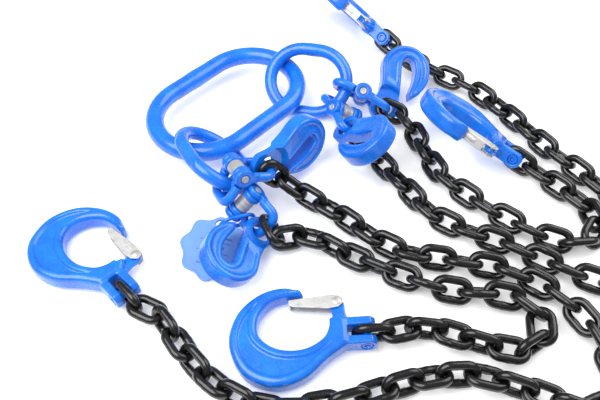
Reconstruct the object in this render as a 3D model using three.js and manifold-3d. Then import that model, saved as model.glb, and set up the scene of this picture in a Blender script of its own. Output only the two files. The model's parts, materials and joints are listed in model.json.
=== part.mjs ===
// Four-leg chain sling, laid out on the ground. Millimetres, +Z up.
// Each leg runs: intermediate link, coupling, shortening hook and chain, sling hook with a latch.
import * as THREE from "three";
import { mergeVertices } from "three/addons/utils/BufferGeometryUtils.js";
import Module from "manifold-3d";

const wasm = await Module();
wasm.setup();

// Driving dimensions.
const GAP = 0.3;
const CHAIN = { wire: 8, pitch: 24, inside: 10.8, thick: 6.28, restHeight: 13.9 };
const MASTER = { wire: 22, insideLength: 160, insideWidth: 90, height: 27 };
const MIDDLE_LINK = { wire: 16, insideLength: 76, insideWidth: 58 };
const COUPLING = { wire: 9.6, half: 15.5, corner: 9, reach: 33, eye: 10, eyeThick: 6.1, pin: 4 };
const BUSH = { radius: 8.4, length: 14.8 };
const CHAIN_OFFSET = 4.6;
const PIN_PLAY = 0.3;
const SLING_HOOK = { thick: 20, bevel: 2.4, ear: 8.9, earWidth: 26, slot: 9.8, slotDepth: 16.5 };
const LOAD_PIN = { radius: 5, length: 25 };
const LATCH = { pinX: -24, pinY: 31, length: 44, width: 11.6, sheet: 1.5, pinRadius: 2.5, swing: 34 };
const LUG = { radius: 6.5, thick: 5 };
const GRAB_HOOK = { thick: 18, eyeThick: 7.4, eyeHole: 10.5, eyeRadius: 18, bevel: 2 };
const TAG = { radius: 31.5, wave: 2, lobes: 8, thick: 4, hole: 5, holeAt: 25 };
const TAG_RING = { wire: 4.6, halfLength: 17.5, halfWidth: 10 };
const TAG_SWING = { ring: 1.2, plate: 10 };
const SPRING = { radius: 4.5, thick: 1.1, play: 0.3, legLength: 12 };

// A bore is cut with a rod this long, so that it always runs out of both faces.
const THROUGH = 60;

const PAINT = { color: 0x1673d8, roughness: 0.35, metalness: 0.0 };
const TAG_PAINT = { color: 0x5c9be6, roughness: 0.5, metalness: 0.0 };
const BLACK = { color: 0x101012, roughness: 0.35, metalness: 0.3 };
const BARE_STEEL = { color: 0xa5a19a, roughness: 0.4, metalness: 0.9 };
const ZINC = { color: 0xb4b3ae, roughness: 0.45, metalness: 0.8 };

const degrees = THREE.MathUtils.degToRad;
const vec = (x, y, z = 0) => new THREE.Vector3(x, y, z);
const UP = vec(0, 0, 1);

// Frame with its X along the first vector and its Z as near as it can be to the second.
function frameAt(origin, along, upward) {
  const x = along.clone().normalize();
  const y = upward.clone().cross(x).normalize();
  const z = x.clone().cross(y);
  return new THREE.Matrix4().makeBasis(x, y, z).setPosition(origin);
}

const pointIn = (frame, x, y, z = 0) => vec(x, y, z).applyMatrix4(frame);
const directionIn = (frame, x, y, z = 0) => vec(x, y, z).transformDirection(frame);
const moved = (x, y, z) => new THREE.Matrix4().makeTranslation(x, y, z);
const turned = (x, y, z) =>
  new THREE.Matrix4().makeRotationFromEuler(new THREE.Euler(degrees(x), degrees(y), degrees(z)));

function solid(geometry, matrix = new THREE.Matrix4()) {
  const bare = new THREE.BufferGeometry();
  const source = geometry.index ? geometry.toNonIndexed() : geometry;
  bare.setAttribute("position", source.getAttribute("position").clone());
  bare.applyMatrix4(matrix);
  const merged = mergeVertices(bare, 1e-4);
  return new wasm.Manifold(
    new wasm.Mesh({
      numProp: 3,
      vertProperties: new Float32Array(merged.attributes.position.array),
      triVerts: new Uint32Array(merged.index.array),
    }),
  );
}

function geometryOf(shape) {
  const mesh = shape.getMesh();
  const geometry = new THREE.BufferGeometry();
  geometry.setAttribute("position", new THREE.BufferAttribute(mesh.vertProperties, 3));
  geometry.setIndex(new THREE.BufferAttribute(mesh.triVerts, 1));
  return geometry;
}

const joined = (first, ...others) => others.reduce((sum, part) => sum.add(part), first);

// A round bore's cutter, its axis on Z through the origin.
function boreCutter(radius, sides) {
  return solid(new THREE.CylinderGeometry(radius, radius, THROUGH, sides), turned(90, 0, 0));
}

// A rod of the given radius along X, from one X to another.
function rodAlongX(radius, from, to, sides = 16) {
  const rod = new THREE.CylinderGeometry(radius, radius, to - from, sides);
  return solid(rod, moved((from + to) / 2, 0, 0).multiply(turned(0, 0, 90)));
}

function polygon(radius, sides) {
  const turn = Math.PI / sides;
  const corners = Array.from({ length: sides }, (_, i) => {
    const angle = turn + (2 * Math.PI * i) / sides;
    return new THREE.Vector2(radius * Math.cos(angle), radius * Math.sin(angle));
  });
  return new THREE.Shape(corners);
}

// The middle line of an oval link: two straights and two half circles, long axis on X.
// It starts and ends halfway along a straight, so that its two ends meet squarely.
class OvalPath extends THREE.Curve {
  constructor(halfLength, halfWidth) {
    super();
    this.bend = halfWidth;
    this.straight = halfLength - halfWidth;
  }

  getPoint(t, target = vec(0, 0)) {
    const straight = 2 * this.straight;
    const arc = Math.PI * this.bend;
    const total = 2 * (straight + arc);
    let s = (t * total + this.straight) % total;
    const side = s < straight + arc ? 1 : -1;
    s -= side > 0 ? 0 : straight + arc;
    if (s < straight) return target.set(side * (s - this.straight), -side * this.bend, 0);
    const angle = (s - straight) / this.bend;
    const x = this.straight + this.bend * Math.sin(angle);
    return target.set(side * x, -side * this.bend * Math.cos(angle), 0);
  }
}

// A closed ring: the side wall of a tube whose two ends meet.
function ring(path, radius, sides, steps) {
  const options = { steps, extrudePath: path, bevelEnabled: false };
  const tube = new THREE.ExtrudeGeometry(polygon(radius, sides), options);
  const wall = tube.groups[1];
  const places = tube.getAttribute("position").array;
  const kept = places.slice(3 * wall.start, 3 * (wall.start + wall.count));
  const geometry = new THREE.BufferGeometry();
  geometry.setAttribute("position", new THREE.BufferAttribute(kept, 3));
  return solid(geometry);
}

function ovalLink(size, sides, steps) {
  const path = new OvalPath((size.insideLength + size.wire) / 2, (size.insideWidth + size.wire) / 2);
  return ring(path, size.wire / 2, sides, steps);
}

// A flat forging: an outline with a chamfer all round, its middle plane on z = 0.
function forging(outline, thick, bevel) {
  const geometry = new THREE.ExtrudeGeometry(outline, {
    depth: thick - 2 * bevel,
    bevelEnabled: bevel > 0,
    bevelThickness: bevel,
    bevelSize: bevel,
    bevelOffset: -bevel,
    bevelSegments: 1,
  });
  return solid(geometry, moved(0, 0, bevel - thick / 2));
}

const smooth = (points, divisions) =>
  new THREE.SplineCurve(points.map(([x, y]) => new THREE.Vector2(x, y))).getPoints(divisions);

function circleShape(x, y, radius, sides) {
  const corners = Array.from({ length: sides }, (_, i) => {
    const angle = (2 * Math.PI * i) / sides;
    return new THREE.Vector2(x + radius * Math.cos(angle), y + radius * Math.sin(angle));
  });
  return new THREE.Shape(corners);
}

// ---------------------------------------------------------------- chain

// Outline of a link's flank: an oval with eight sides.
function linkLoop(end, side, flatEnd, flatSide) {
  return [
    [end, -flatEnd],
    [end, flatEnd],
    [flatSide, side],
    [-flatSide, side],
    [-end, flatEnd],
    [-end, -flatEnd],
    [-flatSide, -side],
    [flatSide, -side],
  ];
}

// A link's crown is a little thicker inside where it bears on a neighbour of the same run,
// and a little thinner where a hinge leaves it free to turn.
const CROWN_JOINED = CHAIN.wire + 0.2;
const CROWN_FREE = CHAIN.wire - 1;

function chainLink(crownBefore, crownAfter) {
  const outerEnd = CHAIN.pitch / 2 + CHAIN.wire;
  const innerSide = CHAIN.inside / 2;
  const outer = linkLoop(outerEnd, innerSide + CHAIN.wire, 7, 10.5);
  const before = outerEnd - crownBefore;
  const after = outerEnd - crownAfter;
  const hole = [
    [after, -innerSide],
    [after, innerSide],
    [-before, innerSide],
    [-before, -innerSide],
  ];
  const shape = new THREE.Shape(outer.map(([x, y]) => new THREE.Vector2(x, y)));
  shape.holes.push(new THREE.Path(hole.map(([x, y]) => new THREE.Vector2(x, y))));
  const options = { depth: CHAIN.thick, bevelEnabled: false };
  return new THREE.ExtrudeGeometry(shape, options).translate(0, 0, -CHAIN.thick / 2);
}

// Bearing points one pitch apart along a curve, from its start to its end.
function bearingPoints(curve, links) {
  const samples = 4000;
  const points = curve.getSpacedPoints(samples);
  const walk = (pitch) => {
    const found = [points[0]];
    for (let i = 1; i <= samples && found.length <= links; i += 1) {
      if (points[i].distanceTo(found.at(-1)) >= pitch) found.push(points[i]);
    }
    return found;
  };
  let low = CHAIN.pitch * 0.5;
  let high = CHAIN.pitch * 1.6;
  for (let i = 0; i < 40; i += 1) {
    const middle = (low + high) / 2;
    if (walk(middle).length > links) low = middle;
    else high = middle;
  }
  const found = walk(low);
  found[links] = points[samples];
  return found;
}

// The chain's centre line, with its slack bend moved out until the links are one pitch long.
function fittedChain(layout, links) {
  const curveFor = (slack) => new THREE.CatmullRomCurve3(layout(slack), false, "centripetal");
  const wanted = links * CHAIN.pitch * 1.006;
  let low = -60;
  let high = 120;
  for (let i = 0; i < 24; i += 1) {
    const middle = (low + high) / 2;
    if (curveFor(middle).getLength() < wanted) low = middle;
    else high = middle;
  }
  return bearingPoints(curveFor(low), links);
}

// Roll of a link about its long axis: flat at the hinges, leaning by up to 45 degrees between.
function rollProfile(runs, startRoll, endRoll) {
  const links = runs.reduce((sum, run) => sum + run, 0);
  const hinged = [-1, runs[0] - 1, runs[0] + runs[1] - 1, links - 1];
  const lean = (i) => {
    const k = i <= hinged[1] ? 0 : i <= hinged[2] ? 1 : 2;
    const from = hinged[k];
    const length = hinged[k + 1] - from;
    return Math.min(45, 3.8 * length) * Math.sin((Math.PI * (i - from)) / length);
  };
  const blend = Math.min(9, links / 2);
  const near = (i) => Math.max(0, 1 - i / blend);
  return (i) => {
    const fromStart = (startRoll - lean(0)) * near(i);
    const fromEnd = endRoll * near(links - 1 - i);
    return lean(i) + fromStart + fromEnd;
  };
}

// Frames of every link: neighbours stand at right angles, and the whole chain twists slowly.
function linkFrames(bearings, rollAt) {
  return bearings.slice(1).map((after, i) => {
    const before = bearings[i];
    const centre = before.clone().add(after).multiplyScalar(0.5);
    const level = frameAt(centre, after.clone().sub(before), UP);
    return level.multiply(turned(rollAt(i) + (i % 2 ? 90 : 0), 0, 0));
  });
}

function chainRun(frames, first, count) {
  const last = first + count - 1;
  const links = [];
  for (let i = first; i <= last; i += 1) {
    const before = i === first ? CROWN_FREE : CROWN_JOINED;
    const after = i === last ? CROWN_FREE : CROWN_JOINED;
    links.push(solid(chainLink(before, after), frames[i]));
  }
  return joined(...links);
}

// ---------------------------------------------------------------- coupling

// Middle line of a coupling half: two arms, two corners and a straight crown, in the XY plane.
class BowPath extends THREE.Curve {
  getPoint(t, target = vec(0, 0)) {
    const foot = COUPLING.eye + 0.8;
    const arm = COUPLING.reach - COUPLING.corner - foot;
    const arc = (Math.PI / 2) * COUPLING.corner;
    const crown = COUPLING.half - COUPLING.corner;
    const total = 2 * (arm + arc + crown);
    const side = t < 0.5 ? -1 : 1;
    const s = total * (0.5 - Math.abs(t - 0.5));
    if (s < arm) return target.set(side * COUPLING.half, foot + s, 0);
    if (s > arm + arc) return target.set(side * (total / 2 - s), COUPLING.reach, 0);
    const angle = (s - arm) / COUPLING.corner;
    const x = crown + COUPLING.corner * Math.cos(angle);
    return target.set(side * x, foot + arm + COUPLING.corner * Math.sin(angle), 0);
  }
}

// An eye round the pin with a neck that runs up into the arm, from one X to another.
function couplingEye(from, to) {
  const neck = COUPLING.wire / 2 - 0.2;
  const top = COUPLING.eye + 6;
  const start = Math.asin(neck / COUPLING.eye);
  const corners = [new THREE.Vector2(-neck, top), new THREE.Vector2(neck, top)].reverse();
  const shape = new THREE.Shape();
  const steps = 9;
  for (let i = 0; i <= steps; i += 1) {
    const angle = Math.PI / 2 + start + ((2 * Math.PI - 2 * start) * i) / steps;
    const x = COUPLING.eye * Math.cos(angle);
    const y = COUPLING.eye * Math.sin(angle);
    if (i === 0) shape.moveTo(x, y);
    else shape.lineTo(x, y);
  }
  corners.forEach((corner) => shape.lineTo(corner.x, corner.y));
  const plate = new THREE.ExtrudeGeometry(shape, { depth: to - from, bevelEnabled: false });
  const onX = new THREE.Matrix4().makeBasis(vec(0, 0, -1), vec(0, 1, 0), vec(1, 0, 0));
  return solid(plate, moved(from, 0, 0).multiply(onX));
}

const couplingBore = () => rodAlongX(COUPLING.pin + PIN_PLAY, -THROUGH / 2, THROUGH / 2, 10);

function couplingHalf() {
  const options = { steps: 9, extrudePath: new BowPath(), bevelEnabled: false };
  const bow = solid(new THREE.ExtrudeGeometry(polygon(COUPLING.wire / 2, 6), options));
  const inner = BUSH.length / 2 + GAP;
  const outer = inner + COUPLING.eyeThick + GAP;
  const outerEye = couplingEye(-outer - COUPLING.eyeThick, -outer);
  const innerEye = couplingEye(inner, inner + COUPLING.eyeThick);
  return joined(bow, outerEye, innerEye).subtract(couplingBore());
}

function couplingBush() {
  const half = BUSH.length / 2;
  const body = rodAlongX(BUSH.radius, -half, half, 14);
  return body.subtract(couplingBore());
}

function couplingPin() {
  const half = BUSH.length / 2 + 2 * (COUPLING.eyeThick + GAP);
  return rodAlongX(COUPLING.pin, -half, half, 10);
}

// ---------------------------------------------------------------- shortening hook

// Eye centre on the origin, load line along X. The slot takes one chain link edgewise.
function grabHook() {
  const outside = smooth(
    [
      [-6, 16],
      [10, 15],
      [26, 20],
      [48, 31],
      [70, 24],
      [80, 4],
      [73, -17],
      [54, -28],
      [34, -27],
      [22, -21],
    ],
    17,
  );
  const slot = smooth(
    [
      [29, -16],
      [45, -13],
      [57, -8],
      [65, 0],
      [63, 8],
      [54, 9],
      [36, 0],
      [20, -8],
      [8, -15],
    ],
    12,
  );
  const eyeBack = [];
  const steps = 6;
  for (let i = 0; i <= steps; i += 1) {
    const angle = degrees(-75 - (i * 165) / steps);
    const x = GRAB_HOOK.eyeRadius * Math.cos(angle);
    eyeBack.push(new THREE.Vector2(x, GRAB_HOOK.eyeRadius * Math.sin(angle)));
  }
  const outline = [...outside, ...slot, ...eyeBack];
  const hook = forging(new THREE.Shape(outline.reverse()), GRAB_HOOK.thick, GRAB_HOOK.bevel);
  const spotDepth = 10;
  const spotRadius = GRAB_HOOK.eyeRadius + 3;
  const spot = new THREE.CylinderGeometry(spotRadius, spotRadius, spotDepth, 14);
  const shoulder = (spotDepth + GRAB_HOOK.eyeThick) / 2;
  return hook
    .subtract(boreCutter(GRAB_HOOK.eyeHole, 12))
    .subtract(solid(spot, moved(0, 0, shoulder).multiply(turned(90, 0, 0))))
    .subtract(solid(spot, moved(0, 0, -shoulder).multiply(turned(90, 0, 0))));
}

// ---------------------------------------------------------------- sling hook

// Load pin centre on the origin, load line towards -X, point of the hook on the +Y side.
function slingHookBody() {
  const back = smooth(
    [
      [-16, -12],
      [-34, -24],
      [-56, -42],
      [-82, -48],
      [-108, -36],
      [-121, -8],
      [-115, 20],
      [-96, 39],
      [-74, 46],
      [-56, 42],
    ],
    17,
  );
  const inside = smooth(
    [
      [-54, 37],
      [-68, 36],
      [-84, 31],
      [-95, 16],
      [-94, -2],
      [-78, -14],
      [-56, -15],
      [-38, -5],
      [-31, 10],
      [-26, 20],
      [-16, 12],
    ],
    19,
  );
  const outline = new THREE.Shape([...back, ...inside].reverse());
  const bowl = forging(outline, SLING_HOOK.thick, SLING_HOOK.bevel);
  const half = SLING_HOOK.earWidth / 2;
  const ears = new THREE.Shape();
  ears.moveTo(-30, -SLING_HOOK.ear + 1);
  ears.absarc(0, 0, SLING_HOOK.ear, -Math.PI / 2, Math.PI / 2, false);
  ears.lineTo(-30, SLING_HOOK.ear - 1);
  const block = new THREE.ExtrudeGeometry(ears, {
    depth: SLING_HOOK.earWidth,
    bevelEnabled: false,
    curveSegments: 7,
  });
  const onY = new THREE.Matrix4().makeBasis(vec(1, 0, 0), vec(0, 0, 1), vec(0, -1, 0));
  const clevis = solid(block, moved(0, half, 0).multiply(onY));
  const slot = new THREE.BoxGeometry(SLING_HOOK.slotDepth + THROUGH / 2, SLING_HOOK.slot, THROUGH);
  const slotPlace = moved(THROUGH / 4 - SLING_HOOK.slotDepth / 2, 0, 0);
  const boreRadius = LOAD_PIN.radius + PIN_PLAY;
  const bore = new THREE.CylinderGeometry(boreRadius, boreRadius, THROUGH, 12);
  const lugOutline = smooth(
    [
      [LATCH.pinX + 9, 12],
      [LATCH.pinX + 7, 22],
      [LATCH.pinX + LUG.radius, LATCH.pinY],
      [LATCH.pinX, LATCH.pinY + LUG.radius],
      [LATCH.pinX - LUG.radius, LATCH.pinY],
      [LATCH.pinX - 5, 20],
      [LATCH.pinX - 3, 12],
    ],
    9,
  );
  const lugSolid = forging(new THREE.Shape(lugOutline), LUG.thick, 0);
  const latchBore = boreCutter(LATCH.pinRadius + PIN_PLAY, 10).translate([LATCH.pinX, LATCH.pinY, 0]);
  return joined(bowl, clevis, lugSolid)
    .subtract(solid(slot, slotPlace))
    .subtract(solid(bore))
    .subtract(latchBore);
}

function loadPin() {
  return solid(new THREE.CylinderGeometry(LOAD_PIN.radius, LOAD_PIN.radius, LOAD_PIN.length, 12));
}

// Folded sheet channel, open towards the bowl, its pin on the origin and its nose towards -X.
function latchChannel() {
  const outline = (grow) =>
    new THREE.Shape([
      new THREE.Vector2(-LATCH.length, 2.2 + grow),
      new THREE.Vector2(-LATCH.length, -2.2),
      new THREE.Vector2(-LATCH.length + 4, -4.5),
      new THREE.Vector2(-8, -7.5),
      new THREE.Vector2(1, -6.2),
      new THREE.Vector2(6.2, -1.5),
      new THREE.Vector2(5.2, 3.5),
      new THREE.Vector2(0, 6.2 + grow),
      new THREE.Vector2(-10, 6 + grow),
    ]);
  const shell = forging(outline(0), LATCH.width, 0);
  const inside = new THREE.Shape([
    new THREE.Vector2(-LATCH.length + 2, 0.7),
    new THREE.Vector2(-LATCH.length + 2, -12),
    new THREE.Vector2(12, -12),
    new THREE.Vector2(12, 12),
    new THREE.Vector2(-8.2, 12),
    new THREE.Vector2(-8.2, 4.5),
    new THREE.Vector2(-10, 4.5),
  ]);
  const room = forging(inside, LATCH.width - 2 * LATCH.sheet, 0);
  return shell.subtract(room).subtract(boreCutter(LATCH.pinRadius + PIN_PLAY, 10));
}

function latchPin() {
  const pin = new THREE.CylinderGeometry(LATCH.pinRadius, LATCH.pinRadius, LATCH.width + 2, 10);
  return solid(pin, turned(90, 0, 0));
}

// The torsion spring: a coil round the latch pin beside the lug, with a leg along the web.
function latchSpring() {
  const coil = circleShape(0, 0, SPRING.radius, 8);
  coil.holes.push(circleShape(0, 0, LATCH.pinRadius + PIN_PLAY + SPRING.play, 8));
  const body = forging(coil, SPRING.thick, 0);
  const leg = new THREE.BoxGeometry(SPRING.legLength, SPRING.thick, SPRING.thick);
  const besideLug = (LUG.thick + SPRING.thick) / 2 + GAP;
  return joined(body, solid(leg, moved(-7, 3.1, 0))).translate([0, 0, besideLug]);
}

// ---------------------------------------------------------------- tag

function tagPlate() {
  const corners = [];
  const steps = 48;
  for (let i = 0; i < steps; i += 1) {
    const angle = (2 * Math.PI * i) / steps;
    const radius = TAG.radius + TAG.wave * Math.cos(TAG.lobes * angle);
    corners.push(new THREE.Vector2(radius * Math.cos(angle), radius * Math.sin(angle)));
  }
  const shape = new THREE.Shape(corners);
  shape.holes.push(circleShape(TAG.holeAt, 0, TAG.hole, 12));
  return forging(shape, TAG.thick, 0);
}

// ---------------------------------------------------------------- layout on the ground

// A frame from where a link lies, its heading, and its roll about its long axis.
function lyingFrame([x, y, z], heading, roll, pitch = 0) {
  return moved(x, y, z)
    .multiply(turned(0, 0, heading))
    .multiply(turned(0, -pitch, 0))
    .multiply(turned(roll, 0, 0));
}

const LINK_LAYOUT = {
  master: lyingFrame([-83.3, 125.2, MASTER.height], 46.7, 0),
  left: lyingFrame([-87.9, 29.5, 31.5], -58.5, -39.8, 0.9),
  right: lyingFrame([9.9, 155.9, 30.3], -11.1, 37.3, -0.1),
};

const LINK_SWING = 1.5;
const LINK_HINGES = {
  left: { at: [-110, 44, 27], bar: [0.92, 0.39, 0] },
  right: { at: [-4, 160, 27], bar: [-0.17, 0.98, 0] },
};

// The tag's ring stands on edge round one arm of the fourth coupling; the tag leans on it.
const TAG_LAYOUT = {
  ring: [-62.7, -40.8, 16.6],
  ringAlong: [-0.919, -0.372, 0.128],
  ringFlank: [0.338, -0.914, -0.225],
  tagTowardsHole: [0.244, 0.928, 0.281],
  tagUp: [0.045, -0.3, 0.953],
};

// One entry a leg: its coupling, shortening hook, sling hook and the way its chain runs.
const LEGS = [
  {
    side: "right",
    coupling: { at: [72.5, 138, 24.9], pin: [-0.02, -0.59, 0.8], up: [-0.92, 0.33, 0.22], fold: -10 },
    grab: { eye: [98.5, 130.2, 13.3], along: [0.533, 0.754, 0.383], flank: [0.163, -0.536, 0.828] },
    hook: { at: [233, 46, 17], heading: -38, roll: 150, pitch: -12 },
    lead: [0.9, -0.35, -0.2],
    level: [-0.7, -0.7, 0],
    swing: { coupling: 2, lower: 1, grab: 10, top: 1, middle: 8, end: 3, hook: 35 },
    runs: [15, 2, 1],
    path: (slack) => [
      [150, 24],
      [178, -8],
      [207, -34],
      [237 + slack * 0.3, -55 - slack * 0.3],
      [266 + slack * 0.7, -67 - slack * 0.5],
      [291 + slack, -63 - slack * 0.5],
      [303 + slack, -42],
      [296 + slack * 0.6, -18],
      [277, 2],
    ],
  },
  {
    side: "right",
    coupling: { at: [51, 112.4, 20.6], pin: [0.78, 0.18, -0.6], up: [-0.39, 0.89, -0.24], fold: 17 },
    grab: { eye: [52.9, 78.1, 27.5], along: [0.324, -0.822, 0.467], flank: [-0.635, 0.177, 0.752] },
    hook: { at: [108, 251, 18.6], heading: -44, roll: 135, pitch: -16 },
    lead: [0.27, -0.9, 0.08],
    level: [0.3, -0.95, 0],
    swing: { coupling: 2, lower: 1, grab: 15, top: 2, middle: 4, end: 12, hook: 60 },
    runs: [19, 8, 7],
    path: (slack) => [
      [84, 48],
      [108, 10],
      [141, -36],
      [200, -65],
      [250, -94],
      [294, -115 - slack * 0.3],
      [335 + slack, -112],
      [355 + slack, -75],
      [347 + slack * 0.5, -38],
      [322, -4],
      [297, 32],
      [271, 67],
      [248, 106],
      [206, 162],
      [169, 190],
      [135, 220],
    ],
  },
  {
    side: "left",
    coupling: { at: [-61.7, -5.2, 53.9], pin: [0.45, -0.86, 0.24], up: [-0.56, -0.48, -0.67], fold: -65 },
    grab: { eye: [-35.5, 13.1, 41.3], along: [0.726, 0.682, -0.089], flank: [0.684, -0.701, 0.203] },
    hook: { at: [-163, -120, 13.9], heading: -45, roll: 0, pitch: 1.8 },
    lead: [0.64, 0.12, -0.76],
    level: [-1, 0, 0],
    swing: { coupling: 2, lower: 1, grab: 7, top: 2, middle: 20, end: 25, hook: 60 },
    runs: [21, 8, 9],
    path: (slack) => [
      [5, -6, 16],
      [40, -30],
      [92, -72],
      [150, -86],
      [190, -94],
      [226, -113],
      [253, -141],
      [264 + slack * 0.3, -174 - slack * 0.3],
      [268 + slack * 0.5, -208 - slack * 0.8],
      [242 + slack * 0.2, -230 - slack],
      [208, -220 - slack * 0.5],
      [178, -209],
      [143, -200],
      [96, -206],
      [50, -220],
      [4, -230],
      [-42, -226],
      [-86, -196],
      [-131, -141],
    ],
  },
  {
    side: "left",
    coupling: { at: [-55, -26.9, 29.5], pin: [0.69, 0.28, 0.66], up: [-0.39, 0.92, 0.01], fold: 32 },
    grab: { eye: [-39.9, -53.4, 13], along: [-0.526, -0.755, 0.392], flank: [0.553, 0.047, 0.832] },
    grabTurnsBack: true,
    hook: { at: [58.5, -162, 13.9], heading: 2, roll: 0, pitch: 1.8 },
    lead: [0.42, -0.9, -0.05],
    level: [-1, 0, 0],
    swing: { coupling: 1.2, lower: 1, grab: 2, top: 2, middle: 20, end: 5, hook: 60 },
    runs: [15, 2, 3],
    path: (slack) => [
      [7, -56],
      [49, -80],
      [92, -101],
      [141, -119],
      [176 + slack * 0.3, -122],
      [203 + slack * 0.7, -134],
      [208 + slack * 0.8, -160],
      [187 + slack * 0.7, -179],
      [158, -171],
      [131, -161],
      [104, -156],
    ],
  },
];

// ---------------------------------------------------------------- assembly

const sling = new THREE.Group();
sling.name = "four_leg_chain_sling";

// Each hinge: its body, the body it turns on, a point on its axis, the axis and its range.
export const hinges = [];

function addMesh(group, name, shape, look) {
  const geometry = geometryOf(shape).toNonIndexed();
  geometry.computeVertexNormals();
  const mesh = new THREE.Mesh(geometry, new THREE.MeshStandardMaterial(look));
  mesh.name = name;
  group.add(mesh);
  return mesh;
}

// A body is a group of meshes; its hinge turns it on its parent about an axis through a point.
function addBody(parent, name, at, axis, range) {
  const group = new THREE.Group();
  group.name = name;
  parent.add(group);
  if (at) hinges.push({ body: group, parent, at, axis, range });
  return group;
}

const place = (shape, frame) => shape.transform(frame.elements);

const halfShape = couplingHalf();
const grabShape = grabHook();
const hookShape = slingHookBody();

// The hinge axis, turned so that a positive angle lifts what lies in the given direction.
function liftingAxis(axis, towards) {
  const lift = axis.clone().cross(towards).z;
  return lift < 0 ? axis.clone().negate() : axis;
}

function withoutPart(direction, axis) {
  return direction.clone().addScaledVector(axis, -direction.dot(axis)).normalize();
}

function addCoupling(parent, leg, n) {
  const { at, pin, up, fold } = leg.coupling;
  const frame = frameAt(vec(...at), vec(...pin), vec(...pin).cross(vec(...up)));
  const lower = frame.clone().multiply(turned(fold, 0, 0)).multiply(turned(0, 0, 180));
  const pinAxis = directionIn(frame, 1, 0, 0);
  const level = vec(...leg.level).normalize();
  const hold = pointIn(frame, 0, COUPLING.reach - COUPLING.wire / 2 - MIDDLE_LINK.wire / 2, 0);
  const upper = addBody(parent, `coupling_${n}`, hold, level, [0, leg.swing.coupling]);
  addMesh(upper, `upper_half_${n}`, place(halfShape, frame), PAINT);
  addMesh(upper, `coupling_pin_${n}`, place(couplingPin(), frame), BARE_STEEL);
  addMesh(upper, `coupling_bush_${n}`, place(couplingBush(), frame), BARE_STEEL);
  const axis = liftingAxis(pinAxis, directionIn(lower, 0, 1, 0));
  const lowerBody = addBody(upper, `lower_half_${n}`, vec(...at), axis, [0, leg.swing.lower]);
  addMesh(lowerBody, `lower_half_${n}`, place(halfShape, lower), PAINT);
  return { lower, lowerBody, pinAxis };
}

function addGrabHook(parent, leg, n) {
  const { eye, along, flank } = leg.grab;
  const frame = frameAt(vec(...eye), vec(...along), vec(...flank));
  const axis = directionIn(frame, 0, 0, leg.grabTurnsBack ? -1 : 1);
  const body = addBody(parent, `grab_hook_${n}`, vec(...eye), axis, [0, leg.swing.grab]);
  addMesh(body, `grab_hook_${n}`, place(grabShape, frame), PAINT);
}

function addChain(parent, leg, n, lower, pinAxis, hookFrame) {
  const bar = pointIn(lower, -CHAIN_OFFSET, COUPLING.reach, 0);
  const away = withoutPart(vec(...leg.lead), pinAxis);
  const start = bar.clone().addScaledVector(away, -COUPLING.wire / 2 - GAP);
  const shank = directionIn(hookFrame, 1, 0, 0);
  const pinReach = LOAD_PIN.radius + GAP;
  const finish = pointIn(hookFrame, -pinReach, 0, 0);
  const layout = (slack) => [
    start,
    start.clone().addScaledVector(away, CHAIN.pitch),
    ...leg.path(slack).map(([x, y, z = CHAIN.restHeight]) => vec(x, y, z)),
    finish.clone().addScaledVector(shank, CHAIN.pitch * 1.04),
    finish,
  ];
  const links = leg.runs.reduce((sum, run) => sum + run, 0);
  const found = fittedChain(layout, links);
  const rollOf = (i, normal) => {
    const level = frameAt(vec(0, 0), found[i + 1].clone().sub(found[i]), UP);
    const y = directionIn(level, 0, 1, 0);
    const z = directionIn(level, 0, 0, 1);
    const roll = THREE.MathUtils.radToDeg(Math.atan2(-normal.dot(y), normal.dot(z)));
    const upright = i % 2 ? 90 : 0;
    return THREE.MathUtils.euclideanModulo(roll - upright + 90, 180) - 90;
  };
  const startRoll = rollOf(0, pinAxis);
  const endRoll = rollOf(links - 1, directionIn(hookFrame, 0, 1, 0));
  const frames = linkFrames(found, rollProfile(leg.runs, startRoll, endRoll));
  let body = parent;
  let first = 0;
  ["top", "middle", "end"].forEach((run, k) => {
    const name = `chain_${run}_${n}`;
    const onward = found[first + 1].clone().sub(found[first]);
    let at = bar;
    let axis = vec(...leg.level).normalize();
    if (k > 0) {
      const holder = frames[first - 1];
      at = pointIn(holder, CHAIN.pitch / 2 + CHAIN.wire - CROWN_FREE / 2, 0, 0);
      axis = liftingAxis(directionIn(holder, 0, 1, 0), onward);
    }
    body = addBody(body, name, at, axis, [0, leg.swing[run]]);
    addMesh(body, name, chainRun(frames, first, leg.runs[k]), BLACK);
    first += leg.runs[k];
  });
  return body;
}

function addSlingHook(parent, leg, n, frame) {
  const pinAxis = directionIn(frame, 0, 1, 0);
  const out = directionIn(frame, -1, 0, 0);
  const axis = liftingAxis(pinAxis, out);
  const body = addBody(parent, `sling_hook_${n}`, vec(...leg.hook.at), axis, [0, leg.swing.hook]);
  addMesh(body, `hook_body_${n}`, place(hookShape, frame), PAINT);
  addMesh(body, `load_pin_${n}`, place(loadPin(), frame), BARE_STEEL);
  const latchFrame = frame.clone().multiply(moved(LATCH.pinX, LATCH.pinY, 0));
  addMesh(body, `latch_pin_${n}`, place(latchPin(), latchFrame), BARE_STEEL);
  const normal = directionIn(frame, 0, 0, 1);
  const latch = addBody(body, `latch_${n}`, pointIn(latchFrame, 0, 0, 0), normal, [0, LATCH.swing]);
  addMesh(latch, `latch_${n}`, place(latchChannel(), latchFrame), ZINC);
  addMesh(latch, `latch_spring_${n}`, place(latchSpring(), latchFrame), BARE_STEEL);
}

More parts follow.
